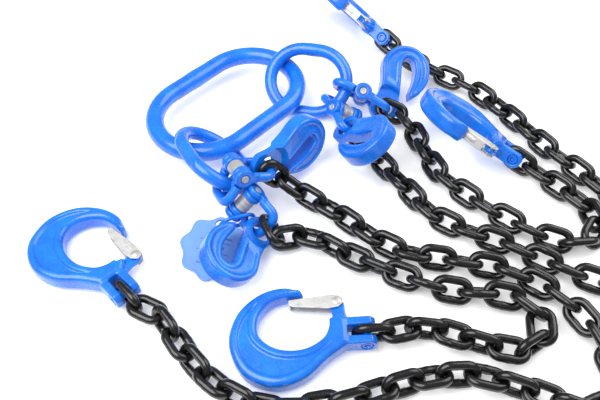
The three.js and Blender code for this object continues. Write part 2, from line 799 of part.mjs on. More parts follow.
function addTag(parent) {
  const away = vec(...TAG_LAYOUT.ringAlong);
  const ringFrame = frameAt(vec(...TAG_LAYOUT.ring), away, vec(...TAG_LAYOUT.ringFlank));
  const path = new OvalPath(TAG_RING.halfLength, TAG_RING.halfWidth);
  const hang = pointIn(ringFrame, TAG_RING.wire / 2 + COUPLING.wire / 2 - TAG_RING.halfLength, 0, 0);
  const ringAxis = directionIn(ringFrame, 0, 0, 1);
  const loop = addBody(parent, "tag_ring", hang, liftingAxis(ringAxis, away), [0, TAG_SWING.ring]);
  addMesh(loop, "tag_ring", place(ring(path, TAG_RING.wire / 2, 6, 22), ringFrame), PAINT);
  const hole = pointIn(ringFrame, TAG_RING.halfLength, 0, 0);
  const towardsHole = vec(...TAG_LAYOUT.tagTowardsHole).normalize();
  const centre = hole.clone().addScaledVector(towardsHole, -TAG.holeAt);
  const tagFrame = frameAt(centre, towardsHole, vec(...TAG_LAYOUT.tagUp));
  const tagAxis = liftingAxis(ringAxis, towardsHole.clone().negate());
  const tag = addBody(loop, "tag", hole, tagAxis, [0, TAG_SWING.plate]);
  addMesh(tag, "tag", place(tagPlate(), tagFrame), TAG_PAINT);
}

const master = addBody(sling, "master_link");
addMesh(master, "master_link", place(ovalLink(MASTER, 8, 24), LINK_LAYOUT.master), PAINT);

// Each intermediate link turns on the master link's bar, about the bar's own direction there.
const sides = {};
["left", "right"].forEach((side) => {
  const name = `intermediate_link_${side}`;
  const { at, bar } = LINK_HINGES[side];
  const onward = directionIn(LINK_LAYOUT[side], 1, 0, 0);
  const body = addBody(master, name, vec(...at), liftingAxis(vec(...bar), onward), [0, LINK_SWING]);
  addMesh(body, name, place(ovalLink(MIDDLE_LINK, 8, 18), LINK_LAYOUT[side]), PAINT);
  sides[side] = body;
});

LEGS.forEach((leg, i) => {
  const n = i + 1;
  const { lower, lowerBody, pinAxis } = addCoupling(sides[leg.side], leg, n);
  addGrabHook(lowerBody, leg, n);
  const { at, heading, roll, pitch } = leg.hook;
  const hookFrame = lyingFrame(at, heading, roll, pitch);
  const lastRun = addChain(lowerBody, leg, n, lower, pinAxis, hookFrame);
  addSlingHook(lastRun, leg, n, hookFrame);
  if (n === 4) addTag(lowerBody);
});

// The part's origin lies on the ground under the middle of everything.
const bounds = new THREE.Box3().setFromObject(sling, true);
const middle = bounds.getCenter(vec(0, 0));
sling.position.set(-middle.x, -middle.y, -bounds.min.z);

export default sling;
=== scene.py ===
"""Looks for the four-leg chain sling: painted forgings, black chain, zinc-plated latches and a tag."""

import json
import math

import bmesh
import bpy
import numpy as np
from mathutils import Matrix, Vector


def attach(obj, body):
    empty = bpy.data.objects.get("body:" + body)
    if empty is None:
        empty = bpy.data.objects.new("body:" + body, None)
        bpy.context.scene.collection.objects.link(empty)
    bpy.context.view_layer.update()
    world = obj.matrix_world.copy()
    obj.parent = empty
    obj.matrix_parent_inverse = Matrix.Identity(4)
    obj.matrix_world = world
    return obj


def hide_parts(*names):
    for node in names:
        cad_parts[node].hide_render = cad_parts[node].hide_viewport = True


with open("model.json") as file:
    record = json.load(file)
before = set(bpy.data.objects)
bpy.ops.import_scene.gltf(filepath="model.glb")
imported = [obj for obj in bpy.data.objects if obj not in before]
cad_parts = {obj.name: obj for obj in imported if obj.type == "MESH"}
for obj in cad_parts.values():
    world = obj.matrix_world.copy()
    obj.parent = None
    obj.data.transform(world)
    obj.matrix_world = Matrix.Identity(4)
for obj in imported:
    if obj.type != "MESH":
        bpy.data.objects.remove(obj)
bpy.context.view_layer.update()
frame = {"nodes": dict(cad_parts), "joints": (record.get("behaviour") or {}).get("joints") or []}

# Sizes in millimetres; the pieces themselves are built in metres.
MM = 0.001
LEGS = (1, 2, 3, 4)
CHAIN = {"wire": 8.0, "pitch": 24.0, "inside": 10.8, "flank": 6.28}
COUPLING = {"wire": 9.6, "half": 15.5, "corner": 9.0, "reach": 33.0, "eye": 10.0, "bore": 4.3, "gap": 0.3}
EYE_THICK = 6.1
BUSH = {"radius": 8.4, "length": 14.8}
PIN_RADIUS = 4.0
HOOK = {"thick": 20.0, "ear": 8.9, "width": 26.0, "slot": 9.8, "bore": 5.3, "root": 16.5}
LOAD_PIN = {"radius": 5.0, "length": 25.0}
LATCH = {"x": -24.0, "y": 31.0, "length": 44.0, "width": 11.6, "sheet": 1.5, "bore": 2.8}
LATCH_PIN = {"radius": 2.5, "length": 13.6, "head": 4.1}
GRAB = {"thick": 18.0, "eye_thick": 7.4, "hole": 10.5, "eye": 18.0}
TAG = {"radius": 31.5, "wave": 2.0, "lobes": 8, "thick": 4.0, "hole": 5.0, "hole_at": 25.0}

# The camera looks along +Y and down at this angle, at this point on the ground, from this far.
CAMERA_TARGET = Vector((-0.0496, -0.0516, 0.0001))
CAMERA_DISTANCE = 0.671
CAMERA_ELEVATION = math.radians(51.3)
CAMERA_LENS = 37.9

# The floor glows a little, like a lit table.
FLOOR_GLOW = 0.22
# How bright the white room is as light, and how bright it is in a reflection.
ROOM = {"light": 0.62, "reflected": 0.34}
# The floor in metres, and each lamp's place, width in metres and watts.
FLOOR = {"half": 6.0, "below": 0.0004}
LAMPS = {"key": ((-0.55, -0.35, 1.0), 1.1, 15), "fill": ((0.75, 0.35, 0.9), 1.1, 9)}


# ------------------------------------------------------------------ frame lookups

def unit(v):
    v = np.asarray(v, float)
    return v / np.linalg.norm(v, axis=-1, keepdims=True)


def node_points(name):
    vertices = frame["nodes"][name].data.vertices
    co = np.empty(len(vertices) * 3, np.float32)
    vertices.foreach_get("co", co)
    return co.reshape(-1, 3).astype(float)


def node_triangles(name):
    """Corner places of every triangle of a CAD node, as an array of triangles by corners by 3."""
    mesh = frame["nodes"][name].data
    mesh.calc_loop_triangles()
    corners = np.empty(len(mesh.loop_triangles) * 3, np.int32)
    mesh.loop_triangles.foreach_get("vertices", corners)
    return node_points(name)[corners.reshape(-1, 3)]


HINGES = {joint["child"]: joint for joint in frame["joints"]}


def hinge_at(body):
    return np.array(HINGES[body]["pos_m"], float)


def hinge_axis(body):
    return unit(HINGES[body]["axis"])


def placed(origin, x, z):
    """Rigid frame with its Z along z and its X as near as it can be to x."""
    z = unit(z)
    y = unit(np.cross(z, x))
    matrix = np.eye(4)
    matrix[:3, 0] = np.cross(y, z)
    matrix[:3, 1] = y
    matrix[:3, 2] = z
    matrix[:3, 3] = origin
    return matrix


def into(matrix, points):
    """Points of the row frame in a rigid frame, in millimetres."""
    return (points - matrix[:3, 3]) @ matrix[:3, :3] / MM


def main_axes(points):
    """Centre of the points' box along their own main axes, and those axes, longest first."""
    middle = points.mean(0)
    axes = np.linalg.svd(points - middle, full_matrices=False)[2]
    along = (points - middle) @ axes.T
    centre = middle + (along.min(0) + along.max(0)) / 2 @ axes
    return centre, axes, along.max(0) - along.min(0)


# ------------------------------------------------------------------ meshes

def mesh_from(name, points, faces, look, sharp=None):
    mesh = bpy.data.meshes.new(name)
    mesh.from_pydata((np.asarray(points) * MM).tolist(), [], faces)
    mesh.shade_smooth()
    if sharp:
        mesh.set_sharp_from_angle(angle=math.radians(sharp))
    mesh.materials.append(LOOKS[look])
    return mesh


def piece(name, mesh, matrix, body, look, *nodes):
    """Adds a piece; a painted one keeps its place in its mesh, the others in their object's matrix."""
    place = Matrix(np.asarray(matrix).tolist())
    painted = look in ("paint", "tag_paint")
    if painted:
        mesh = mesh.copy()
        mesh.transform(place)
    obj = bpy.data.objects.new(name, mesh)
    bpy.context.scene.collection.objects.link(obj)
    obj.matrix_world = Matrix() if painted else place
    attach(obj, body)
    if nodes:
        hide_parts(*nodes)
    return obj


def tube(path, radii, sides, closed, squash=1.0):
    """Points and faces of a round section swept along a path that never runs along Z."""
    path = np.asarray(path, float)
    ahead = np.roll(path, -1, 0)
    behind = np.roll(path, 1, 0)
    if not closed:
        ahead[-1] = path[-1]
        behind[0] = path[0]
    tangent = unit(ahead - behind)
    side = unit(np.cross(tangent, (0, 0, 1)))
    top = np.cross(side, tangent)
    radii = np.broadcast_to(radii, len(path))[:, None, None]
    turn = 2 * math.pi * np.arange(sides) / sides
    ring = np.cos(turn)[None, :, None] * side[:, None] + squash * np.sin(turn)[None, :, None] * top[:, None]
    points = (path[:, None] + radii * ring).reshape(-1, 3)
    faces = []
    for i in range(len(path) - (0 if closed else 1)):
        j = (i + 1) % len(path)
        for k in range(sides):
            n = (k + 1) % sides
            faces.append((i * sides + k, j * sides + k, j * sides + n, i * sides + n))
    if not closed:
        last = (len(path) - 1) * sides
        faces.append(tuple(range(sides)))
        faces.append(tuple(last + k for k in reversed(range(sides))))
    return points, faces


def oval(half_length, half_width, count):
    """Middle line of a link: two straights and two half circles, long axis on X."""
    straight = 2 * (half_length - half_width)
    arc = math.pi * half_width
    s = (np.arange(count) / count) * 2 * (straight + arc)
    side = np.where(s < straight + arc, 1.0, -1.0)
    s = np.where(side > 0, s, s - straight - arc)
    bend = np.maximum(s - straight, 0) / half_width
    x = np.where(s < straight, s - straight / 2, straight / 2 + half_width * np.sin(bend))
    y = -half_width * np.cos(bend)
    return np.stack([side * x, side * y, np.zeros(count)], 1)


def lathe(profile, sides):
    """A turned part about X, from (x, radius) pairs; a closed profile gives a ring, a bore included."""
    profile = np.asarray(profile, float)
    turn = 2 * math.pi * np.arange(sides) / sides
    count = len(profile)
    x = np.repeat(profile[:, :1], sides, 1)
    y = profile[:, 1:] * np.cos(turn)
    z = profile[:, 1:] * np.sin(turn)
    points = np.stack([x, y, z], 2).reshape(-1, 3)
    faces = []
    for i in range(count):
        j = (i + 1) % count
        for k in range(sides):
            n = (k + 1) % sides
            faces.append((i * sides + k, i * sides + n, j * sides + n, j * sides + k))
    return points, faces


def shaft(radius, half, chamfer, sides=32, dimple=0.35):
    """A solid pin about X with chamfered, slightly dished ends."""
    end = [(half - dimple, 0.02), (half - dimple, radius * 0.45), (half, radius * 0.6)]
    end += [(half, radius - chamfer), (half - chamfer, radius)]
    start = [(-x, r) for x, r in reversed(end)]
    return lathe(start + end, sides)


def through(points, per_span):
    """A smooth curve through the points, ends included, with the same number of steps a span."""
    p = np.array([points[0], *points, points[-1]], float)
    t = np.arange(per_span) / per_span
    spans = []
    for i in range(1, len(p) - 2):
        a, b, c, d = p[i - 1:i + 3]
        v0 = (c - a) / 2
        v1 = (d - b) / 2
        square = (t * t)[:, None]
        cube = (t * t * t)[:, None]
        bend = (2 * b - 2 * c + v0 + v1) * cube + (3 * c - 3 * b - 2 * v0 - v1) * square
        spans.append(bend + v0 * t[:, None] + b)
    return np.concatenate([*spans, p[-1:]])


def circle(x, y, radius, count):
    turn = 2 * math.pi * np.arange(count) / count
    return np.stack([x + radius * np.cos(turn), y + radius * np.sin(turn)], 1)


def evaluated_copy(obj):
    depsgraph = bpy.context.evaluated_depsgraph_get()
    mesh = bpy.data.meshes.new_from_object(obj.evaluated_get(depsgraph))
    bpy.data.objects.remove(obj)
    return mesh


def slab(outline, thick, edge, holes=()):
    """A plate in XY with rounded edges, its middle on z = 0."""
    curve = bpy.data.curves.new("slab", "CURVE")
    curve.dimensions = "2D"
    curve.fill_mode = "BOTH"
    for loop in (outline, *holes):
        spline = curve.splines.new("POLY")
        spline.points.add(len(loop) - 1)
        for point, (x, y) in zip(spline.points, loop):
            point.co = (x * MM, y * MM, 0, 1)
        spline.use_cyclic_u = True
    curve.extrude = (thick / 2 - edge) * MM
    curve.bevel_depth = edge * MM
    curve.bevel_resolution = 3
    curve.offset = -edge * MM
    obj = bpy.data.objects.new("slab", curve)
    bpy.context.scene.collection.objects.link(obj)
    return evaluated_copy(obj)


def moved(mesh, x=0.0, y=0.0, z=0.0, turn=None):
    if turn:
        mesh.transform(Matrix.Rotation(math.radians(turn[0]), 4, turn[1]))
    mesh.transform(Matrix.Translation((x * MM, y * MM, z * MM)))
    return mesh


def raw(points, faces):
    mesh = bpy.data.meshes.new("raw")
    mesh.from_pydata((np.asarray(points) * MM).tolist(), [], faces)
    return mesh


def fused(name, parts, voxel, smoothing, look, shape=None, finish=2):
    """The parts as one forged skin: remeshed, softened, shaped point by point and softened again."""
    both = bmesh.new()
    for part in parts:
        both.from_mesh(part)
    joined = bpy.data.meshes.new(name)
    both.to_mesh(joined)
    both.free()
    obj = bpy.data.objects.new(name, joined)
    bpy.context.scene.collection.objects.link(obj)
    skin = obj.modifiers.new("skin", "REMESH")
    skin.mode = "VOXEL"
    skin.voxel_size = voxel * MM
    soften = obj.modifiers.new("soften", "SMOOTH")
    soften.factor = 0.5
    soften.iterations = smoothing
    mesh = evaluated_copy(obj)
    if shape:
        points = np.empty(len(mesh.vertices) * 3, np.float32)
        mesh.vertices.foreach_get("co", points)
        points = shape(points.reshape(-1, 3).astype(float) / MM) * MM
        mesh.vertices.foreach_set("co", points.astype(np.float32).ravel())
        again = bpy.data.objects.new(name, mesh)
        bpy.context.scene.collection.objects.link(again)
        soften = again.modifiers.new("soften", "SMOOTH")
        soften.factor = 0.5
        soften.iterations = finish
        mesh = evaluated_copy(again)
    mesh.name = name
    mesh.shade_smooth()
    mesh.materials.clear()
    mesh.materials.append(LOOKS[look])
    return mesh


def step(low, high, value):
    t = np.clip((value - low) / (high - low), 0, 1)
    return t * t * (3 - 2 * t)


def edge_distance(points, outline):
    """Distance in XY from each point to a closed outline."""
    a = np.asarray(outline, float)
    b = np.roll(a, -1, 0)
    span = b - a
    length = np.maximum((span * span).sum(1), 1e-9)
    best = np.full(len(points), 1e9)
    for start, way, square in zip(a, span, length):
        off = points[:, :2] - start
        t = np.clip(off @ way / square, 0, 1)
        gap = off - t[:, None] * way
        best = np.minimum(best, (gap * gap).sum(1))
    return np.sqrt(best)


# ------------------------------------------------------------------ materials

class Look:
    """A material under construction, with short helpers for its nodes."""

    def __init__(self, name):
        self.material = bpy.data.materials.new(name)
        self.material.use_nodes = True
        self.tree = self.material.node_tree
        self.surface = self.tree.nodes["Principled BSDF"]
        place = self.tree.nodes.new("ShaderNodeTexCoord")
        info = self.tree.nodes.new("ShaderNodeObjectInfo")
        shift = self.tree.nodes.new("ShaderNodeVectorMath")
        shift.operation = "ADD"
        self.link(place.outputs["Object"], shift.inputs[0])
        self.link(info.outputs["Random"], shift.inputs[1])
        self.place = shift.outputs[0]

    def link(self, source, target):
        self.tree.links.new(source, target)

    def noise(self, size_mm, detail=4.0, rough=0.5, stretch=(1, 1, 1)):
        mapping = self.tree.nodes.new("ShaderNodeMapping")
        mapping.inputs["Scale"].default_value = stretch
        node = self.tree.nodes.new("ShaderNodeTexNoise")
        node.inputs["Scale"].default_value = 1 / (size_mm * MM)
        node.inputs["Detail"].default_value = detail
        node.inputs["Roughness"].default_value = rough
        self.link(self.place, mapping.inputs["Vector"])
        self.link(mapping.outputs[0], node.inputs["Vector"])
        return node.outputs["Fac"]

    def ramp(self, value, *stops):
        node = self.tree.nodes.new("ShaderNodeValToRGB")
        while len(node.color_ramp.elements) < len(stops):
            node.color_ramp.elements.new(0.5)
        for element, (position, colour) in zip(node.color_ramp.elements, stops):
            element.position = position
            element.color = (*colour, 1) if isinstance(colour, tuple) else (colour, colour, colour, 1)
        self.link(value, node.inputs["Fac"])
        return node.outputs["Color"]

    def blend(self, amount, under, over, mode="MIX"):
        node = self.tree.nodes.new("ShaderNodeMix")
        node.data_type = "RGBA"
        node.blend_type = mode
        for socket, value in ((node.inputs[0], amount), (node.inputs[6], under), (node.inputs[7], over)):
            if isinstance(value, tuple):
                socket.default_value = (*value, 1)
            elif isinstance(value, float):
                socket.default_value = value
            else:
                self.link(value, socket)
        return node.outputs[2]

    def spread(self, value, low, high, under, over):
        """One colour where the value is low, fading to the other where it is high."""
        return self.blend(self.ramp(value, (low, 0.0), (high, 1.0)), under, over)

    def edges(self, low, high):
        """1 on outward edges, 0 elsewhere."""
        geometry = self.tree.nodes.new("ShaderNodeNewGeometry")
        return self.ramp(geometry.outputs["Pointiness"], (low, 0.0), (high, 1.0))

    def bump(self, *layers):
        """Height layers as (value, millimetres) pairs."""
        previous = None
        for value, depth in layers:
            node = self.tree.nodes.new("ShaderNodeBump")
            node.inputs["Strength"].default_value = 1.0
            node.inputs["Distance"].default_value = depth * MM
            self.link(value, node.inputs["Height"])
            if previous:
                self.link(previous, node.inputs["Normal"])
            previous = node.outputs["Normal"]
        self.link(previous, self.surface.inputs["Normal"])

    def finish(self, colour, rough, metal=0.0, coat=0.0, specular=0.5):
        self.link(colour, self.surface.inputs["Base Color"])
        self.link(rough, self.surface.inputs["Roughness"])
        self.surface.inputs["Coat Weight"].default_value = coat
        self.surface.inputs["Coat Roughness"].default_value = 0.12
        self.surface.inputs["Specular IOR Level"].default_value = specular
        if isinstance(metal, float):
            self.surface.inputs["Metallic"].default_value = metal
        else:
            self.link(metal, self.surface.inputs["Metallic"])
        return self.material


def grey(value):
    return (value,) * 3


def powder_coat(name, deep, bright, worn, rough_range, coat):
    """Thick glossy paint over a forging, thinner and scuffed along its edges."""
    look = Look(name)
    flow = look.noise(22, 3)
    grain = look.noise(0.9, 5, 0.6)
    scuff = look.noise(3.2, 8, 0.7)
    colour = look.spread(flow, 0.3, 0.7, deep, bright)
    rubbed = look.blend(look.edges(0.53, 0.62), grey(0.0), look.ramp(scuff, (0.5, 0.0), (0.62, 1.0)))
    colour = look.blend(rubbed, colour, worn)
    chip = tuple(0.55 * c for c in deep)
    colour = look.spread(look.noise(5.5, 9, 0.72), 0.70, 0.72, colour, chip)
    rough = look.spread(scuff, 0.35, 0.75, grey(rough_range[0]), grey(rough_range[1]))
    look.bump((look.noise(6.5, 3), 0.22), (grain, 0.035))
    return look.finish(colour, rough, coat=coat)


def black_lacquer():
    """Black lacquer on chain, thin where links rub."""
    look = Look("chain_black")
    patch = look.noise(9, 4)
    scuff = look.noise(1.6, 8, 0.7)
    colour = look.spread(patch, 0.3, 0.7, (0.0022, 0.0022, 0.0024), (0.0065, 0.0062, 0.0066))
    rubbed = look.spread(scuff, 0.62, 0.7, grey(0.0), look.ramp(patch, (0.5, 0.0), (0.66, 1.0)))
    colour = look.blend(rubbed, colour, (0.022, 0.020, 0.019))
    rough = look.spread(scuff, 0.3, 0.7, grey(0.16), grey(0.34))
    look.bump((look.noise(3.4, 4), 0.16), (scuff, 0.03))
    return look.finish(colour, rough, coat=0.3)


def zinc_plate():
    """Plated sheet with rolling streaks and duller patches."""
    look = Look("zinc")
    streak = look.noise(1.1, 5, 0.6, stretch=(0.12, 1, 1))
    patch = look.noise(7, 5, 0.6)
    colour = look.spread(patch, 0.3, 0.7, (0.50, 0.50, 0.49), (0.68, 0.675, 0.66))
    colour = look.spread(streak, 0.55, 0.72, colour, (0.30, 0.295, 0.285))
    rough = look.spread(streak, 0.3, 0.7, grey(0.26), grey(0.5))
    look.bump((streak, 0.04), (patch, 0.05))
    return look.finish(colour, rough, metal=0.35)


def turned_steel():
    """Bare steel with turning rings across its axis and faint brown staining."""
    look = Look("bare_steel")
    rings = look.noise(0.7, 2, 0.4, stretch=(1, 0.05, 0.05))
    stain = look.noise(4, 6, 0.65)
    colour = look.spread(rings, 0.3, 0.7, (0.46, 0.445, 0.425), (0.66, 0.645, 0.62))
    colour = look.spread(stain, 0.56, 0.75, colour, (0.20, 0.165, 0.13))
    rough = look.spread(stain, 0.3, 0.7, grey(0.25), grey(0.5))
    look.bump((rings, 0.05), (stain, 0.02))
    return look.finish(colour, rough, metal=0.55)


def pale_floor():
    look = Look("floor")
    patch = look.noise(300, 2)
    colour = look.spread(patch, 0.2, 0.8, grey(0.9), grey(0.93))
    rough = look.spread(patch, 0.2, 0.8, grey(0.7), grey(0.8))
    look.surface.inputs["Emission Color"].default_value = (1, 1, 1, 1)
    look.surface.inputs["Emission Strength"].default_value = FLOOR_GLOW
    return look.finish(colour, rough)


# Each paint's deep, bright and worn colours, its range of roughness and its clear coat.
PAINTS = {
    "paint": ((0.002, 0.120, 0.62), (0.004, 0.190, 0.80), (0.10, 0.36, 0.9), (0.2, 0.42), 0.45),
    "tag_paint": ((0.10, 0.25, 0.62), (0.14, 0.31, 0.70), (0.3, 0.5, 0.85), (0.45, 0.62), 0.0),
    "tag_marks": ((0.035, 0.12, 0.36), (0.05, 0.15, 0.42), (0.2, 0.35, 0.7), (0.45, 0.62), 0.0),
}
LOOKS = {name: powder_coat(name, *paint) for name, paint in PAINTS.items()}
LOOKS["chain_black"] = black_lacquer()
LOOKS["zinc"] = zinc_plate()
LOOKS["bare_steel"] = turned_steel()


# ------------------------------------------------------------------ rings

def ring_piece(node, look, sides, steps, weld, flat=0.0):
    """A round-wire ring in a CAD ring's place, with a weld swelling halfway along one straight."""
    centre, axes, size = main_axes(node_points(node))
    length, width, wire = size / MM
    path = oval((length - wire) / 2, (width - wire) / 2, steps)
    off = np.linalg.norm(path - (0, -(width - wire) / 2, 0), axis=1)
    radii = wire / 2 * (1 + weld * np.exp(-((off / (wire * 0.45)) ** 2)))
    points, faces = tube(path, radii, sides, True)
    if flat:
        limit = (width / 2) - flat * wire
        near = 1 - step(wire * 1.1, wire * 1.5, np.abs(points[:, 0]))
        over = np.maximum(points[:, 1] - limit, 0)
        points[:, 1] -= over * near
    up = axes[2] if axes[2][2] > 0 else -axes[2]
    mesh = mesh_from("look_" + node, points, faces, look)
    piece("look_" + node, mesh, placed(centre, axes[0], up), node, look, node)


ring_piece("master_link", "paint", 32, 160, 0.05)
ring_piece("intermediate_link_left", "paint", 28, 112, 0.05, 0.16)
ring_piece("intermediate_link_right", "paint", 28, 112, 0.05, 0.16)
ring_piece("tag_ring", "paint", 16, 72, 0.08)


# ------------------------------------------------------------------ chain

# A CAD link's flat flank: its least area and its long side, and how nearly its faces must agree.
FLANK = {"area": 400, "side": 21.0, "side_error": 0.15, "level": 0.05, "parallel": 0.9999, "sliver": 1e-3}


def link_frames(node):
    """Frame of every link in a chain run, found from the flat flanks of its CAD links."""
    corners = node_triangles(node) / MM
    cross = np.cross(corners[:, 1] - corners[:, 0], corners[:, 2] - corners[:, 0])
    area = np.linalg.norm(cross, axis=1) / 2
    good = area > FLANK["sliver"]
    corners, normal, area = corners[good], unit(cross[good]), area[good]
    offset = (normal * corners[:, 0]).sum(1)
    flanks = []
    free = np.ones(len(area), bool)
    for i in np.argsort(-area):
        if not free[i]:
            continue
        level = np.abs(corners @ normal[i] - offset[i]).max(1) < FLANK["level"]
        same = free & (normal @ normal[i] > FLANK["parallel"]) & level
        free &= ~same
        if area[same].sum() > FLANK["area"]:
            flanks.append((normal[i], offset[i], corners[same]))
    frames = []
    while flanks:
        normal, offset, flank = flanks.pop()
        middle = flank.reshape(-1, 3).mean(0)
        gaps = [abs(n @ normal + 1) * 1e4 + abs(n @ middle - o + CHAIN["flank"]) * 5
                + np.linalg.norm(f.reshape(-1, 3).mean(0) - middle) for n, o, f in flanks]
        other = flanks.pop(int(np.argmin(gaps)))[2]
        points = np.concatenate([flank, other]).reshape(-1, 3)
        edges = np.concatenate([flank - np.roll(flank, 1, 1), other - np.roll(other, 1, 1)]).reshape(-1, 3)
        edges -= np.outer(edges @ normal, normal)
        length = np.linalg.norm(edges, axis=1)
        sides = edges[np.abs(length - FLANK["side"]) < FLANK["side_error"]]
        along = unit(sides[0])
        sides = sides * np.sign(sides @ along)[:, None]
        along = unit(sides.sum(0))
        across = np.cross(normal, along)
        axes = np.stack([along, across, normal])
        local = points @ axes.T
        centre = (local.min(0) + local.max(0)) / 2 @ axes
        frames.append(placed(centre * MM, along, normal))
    return frames


def chain_piece(node):
    """A run of round-wire links, each with a weld swelling in one side."""
    path = oval((CHAIN["pitch"] + CHAIN["wire"]) / 2, (CHAIN["inside"] + CHAIN["wire"]) / 2, 44)
    off = np.linalg.norm(path - (0, -(CHAIN["inside"] + CHAIN["wire"]) / 2, 0), axis=1)
    radii = CHAIN["wire"] / 2 * (1 + 0.09 * np.exp(-((off / 2.4) ** 2)))
    points, faces = tube(path, radii, 14, True)
    every_point = []
    every_face = []
    for i, matrix in enumerate(link_frames(node)):
        every_point.append(points @ matrix[:3, :3].T + matrix[:3, 3] / MM)
        every_face += [tuple(k + i * len(points) for k in face) for face in faces]
    mesh = mesh_from("look_" + node, np.concatenate(every_point), every_face, "chain_black")
    piece("look_" + node, mesh, np.eye(4), node, "chain_black", node)


for n in LEGS:
    for run in ("chain_top", "chain_middle", "chain_end"):
        chain_piece(f"{run}_{n}")


# ------------------------------------------------------------------ couplings

def coupling_half_mesh():
    """A round bow that swells into two eyes, one of them outboard of the other half's."""
    arm = COUPLING["half"]
    foot = COUPLING["eye"] + 1.2
    corner = COUPLING["corner"]
    turn = np.linspace(0, math.pi / 2, 12)
    bend_at = np.array([arm - corner, COUPLING["reach"] - corner])
    right = bend_at + corner * np.stack([np.cos(turn), np.sin(turn)], 1)
    climb = np.stack([np.full(6, arm), np.linspace(foot, COUPLING["reach"] - corner, 6, endpoint=False)], 1)
    right = np.concatenate([climb, right])
    flat = np.concatenate([right, right[::-1] * (-1, 1)])
    path = np.column_stack([flat, np.zeros(len(flat))])
    bow = raw(*tube(path, COUPLING["wire"] / 2, 24, False))
    inner = BUSH["length"] / 2 + COUPLING["gap"]
    outer = inner + EYE_THICK + COUPLING["gap"]
    parts = [bow]
    for centre, side in ((-outer - EYE_THICK / 2, -1), (inner + EYE_THICK / 2, 1)):
        half = EYE_THICK / 2
        radius = COUPLING["eye"]
        bore = COUPLING["bore"]
        profile = [(-half, bore + 0.6), (-half, radius - 1.4)]
        profile += [(-half + 0.5, radius - 0.4), (-half + 1.4, radius)]
        profile += [(-x, r) for x, r in reversed(profile)]
        profile += [(half - 0.6, bore), (-half + 0.6, bore)]
        parts.append(moved(raw(*lathe(profile, 36)), centre))
        neck = [(-half, 6.0), (half, 6.0), (half, foot + 0.5), (side * arm - centre + 3.4, foot + 4)]
        neck += [(side * arm - centre - 3.4, foot + 4), (-half, foot + 0.5)]
        parts.append(moved(slab(neck, COUPLING["wire"] - 0.8, 0.6), centre))
    return fused("coupling_half", parts, 0.6, 5, "paint")


def coupling_frame(n, node):
    """The half's frame: X along the pin with the outboard eye on its -X side, Y towards the bow."""
    at = hinge_at(f"lower_half_{n}")
    axis = hinge_axis(f"lower_half_{n}")
    points = node_points(node)
    reach = points - at
    across = reach - np.outer(reach @ axis, axis)
    y = unit(across.mean(0))
    round_pin = np.linalg.norm(across, axis=1) < COUPLING["eye"] * 1.02 * MM
    span = reach[round_pin] @ axis
    x = -axis if abs(span.max()) > abs(span.min()) else axis
    return placed(at, x, np.cross(x, y))


def groove(profile, places, width, depth):
    """The profile with ring grooves cut at the given X places."""
    out = []
    for x, radius in profile:
        out.append((x, radius))
    for place in places:
        out += [(place - width, BUSH["radius"]), (place - width / 2, BUSH["radius"] - depth)]
        out += [(place + width / 2, BUSH["radius"] - depth), (place + width, BUSH["radius"])]
    return out


def bush_mesh():
    half = BUSH["length"] / 2
    radius = BUSH["radius"]
    bore = COUPLING["bore"]
    outside = groove([(-half, radius - 0.9), (-half + 0.9, radius)], (-half + 3.2, half - 3.2), 0.7, 0.45)
    outside += [(half - 0.9, radius), (half, radius - 0.9)]
    inside = [(half, bore + 0.5), (half - 0.5, bore), (-half + 0.5, bore), (-half, bore + 0.5)]
    points, faces = lathe(outside + inside, 40)
    return mesh_from("coupling_bush", points, faces, "bare_steel", 28)


HALF = coupling_half_mesh()
BUSH_MESH = bush_mesh()
PIN_HALF = BUSH["length"] / 2 + 2 * (EYE_THICK + COUPLING["gap"])
PIN_MESH = mesh_from("coupling_pin", *shaft(PIN_RADIUS, PIN_HALF, 0.6), "bare_steel", 28)

for n in LEGS:
    upper = coupling_frame(n, f"upper_half_{n}")
    lower = coupling_frame(n, f"lower_half_{n}")
    body = f"coupling_{n}"
    piece(f"look_upper_half_{n}", HALF, upper, body, "paint", f"upper_half_{n}")
    piece(f"look_lower_half_{n}", HALF, lower, f"lower_half_{n}", "paint", f"lower_half_{n}")
    piece(f"look_coupling_bush_{n}", BUSH_MESH, upper, body, "bare_steel", f"coupling_bush_{n}")
    piece(f"look_coupling_pin_{n}", PIN_MESH, upper, body, "bare_steel", f"coupling_pin_{n}")


# ------------------------------------------------------------------ shortening hooks

GRAB_OUTSIDE = [(-6, 16), (10, 15), (26, 20), (48, 31), (70, 24), (80, 4), (73, -17), (54, -28)]
GRAB_OUTSIDE += [(34, -27), (22, -21)]
GRAB_SLOT = [(29, -16), (45, -13), (57, -8), (65, 0), (63, 8), (54, 9), (36, 0), (20, -8), (8, -15)]


def grab_outline():
    turn = np.radians(-75 - 165 * np.arange(19) / 18)
    back = GRAB["eye"] * np.stack([np.cos(turn), np.sin(turn)], 1)
    return np.concatenate([through(GRAB_OUTSIDE, 8), through(GRAB_SLOT, 8), back])


GRAB_OUTLINE = grab_outline()


def shape_grab(points):
    """Thins the eye, leaves a raised pad beside the slot and crowns the rest of the flank."""
    radius = np.hypot(points[:, 0], points[:, 1])
    height = GRAB["eye_thick"] / 2 + (GRAB["thick"] - GRAB["eye_thick"]) / 2 * step(19.5, 24.5, radius)
    edge = edge_distance(points, GRAB_OUTLINE)
    pocket = step(4.5, 6.5, edge) * step(26, 31, points[:, 0]) * 1.3
    limit = height - pocket
    points[:, 2] = np.clip(points[:, 2], -limit, limit)
    return points


def grab_mesh():
    plate = slab(GRAB_OUTLINE, GRAB["thick"], 2.6, [circle(0, 0, GRAB["hole"], 40)])
    return fused("grab_hook", [plate], 0.8, 5, "paint", shape_grab, 4)


